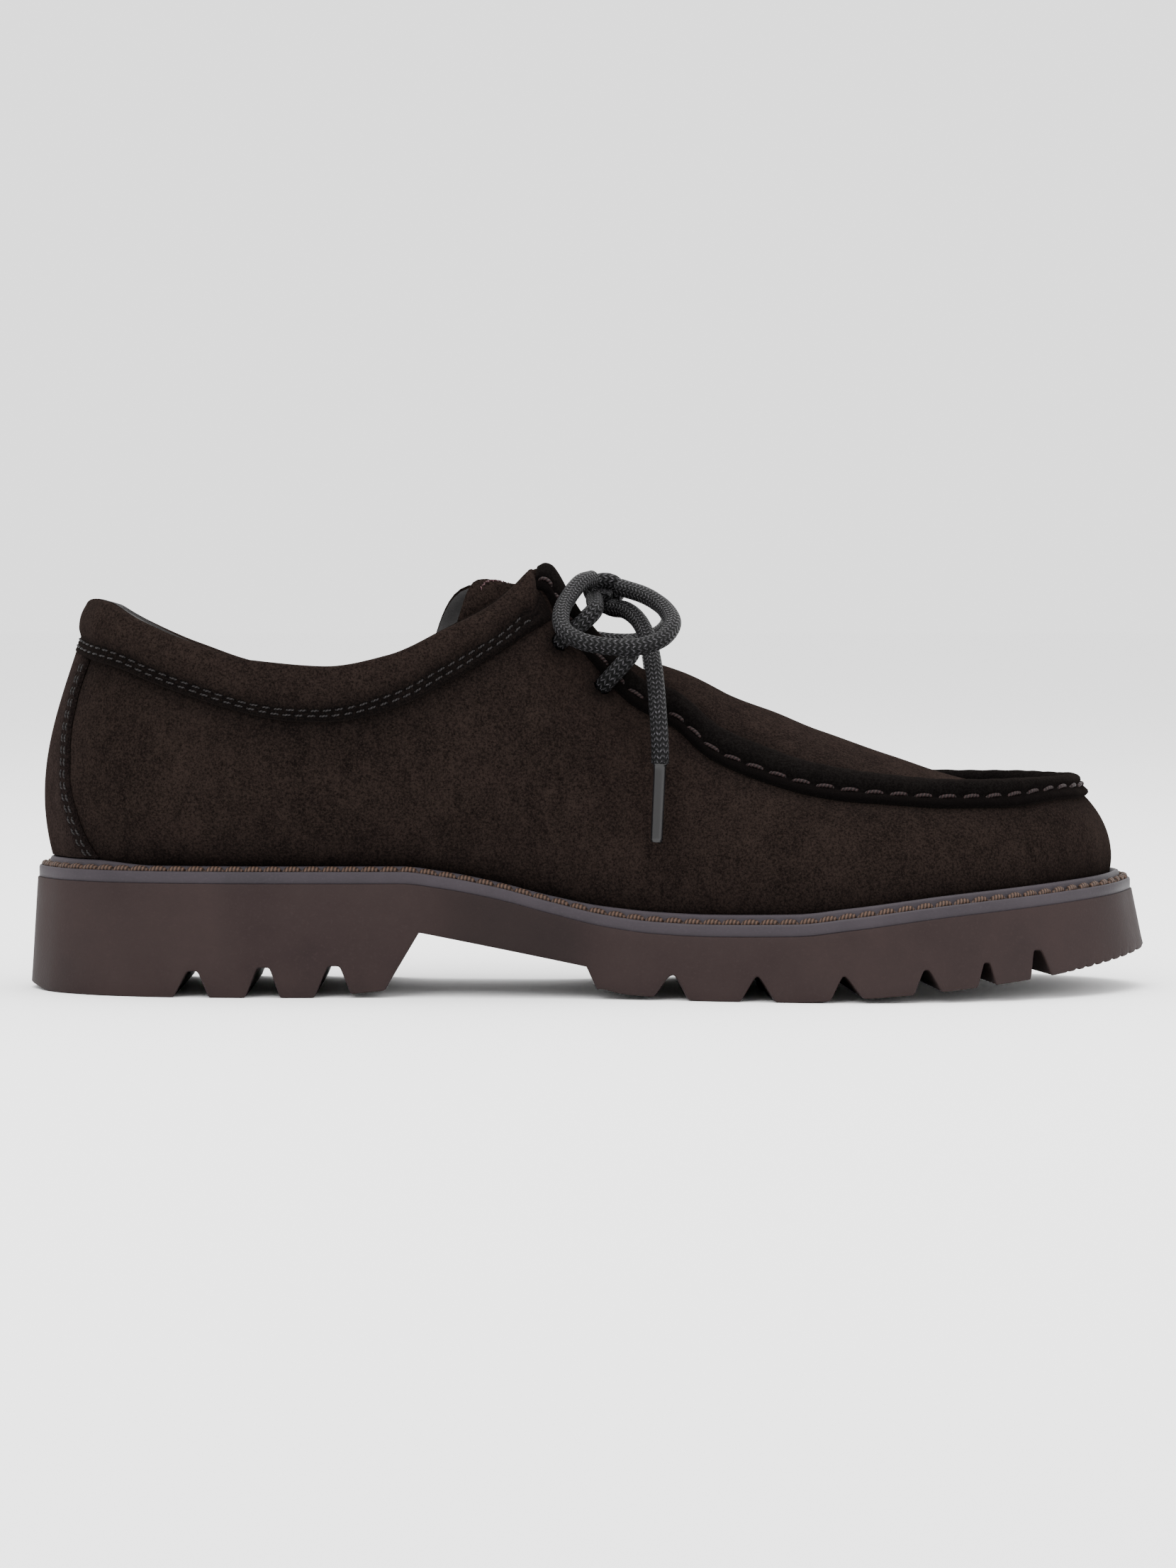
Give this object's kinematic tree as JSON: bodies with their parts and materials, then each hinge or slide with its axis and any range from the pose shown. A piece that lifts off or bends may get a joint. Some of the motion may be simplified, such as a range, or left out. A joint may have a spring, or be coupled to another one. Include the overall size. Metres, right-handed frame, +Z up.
{
  "type": "lace-up shoe",
  "caption": "Dark-brown suede moccasin-toe derby shoe on a chunky lugged rubber sole, with a storm welt, raised hand-sewn seam, padded collar and a tied round lace.",
  "frame": {"origin": "on the floor under the middle of the sole", "axes": "+X from heel to toe, +Y to the inner side of the foot, +Z up from the floor"},
  "size_m": [0.3048, 0.111, 0.1139],
  "materials": {
    "sole_rubber": "satin",
    "welt_rubber": "satin",
    "suede": "matte",
    "lining": "matte",
    "lace": "satin",
    "lace_tip": "gloss"
  },
  "bodies": {
    "root": {"outsole": "sole_rubber", "welt": "welt_rubber", "insole": "lining", "upper": "suede", "moc_seam": "suede", "collar_band": "suede", "heel_strip": "suede", "tongue": "suede", "lace_bar": "lace", "lace_strand_lateral": "lace", "lace_strand_medial": "lace", "lace_knot": "lace", "lace_loop_lateral": "lace", "lace_loop_medial": "lace", "lace_end_lateral": "lace", "lace_end_medial": "lace", "lace_tip_lateral": "lace_tip", "lace_tip_medial": "lace_tip"}
  },
  "joints": []
}
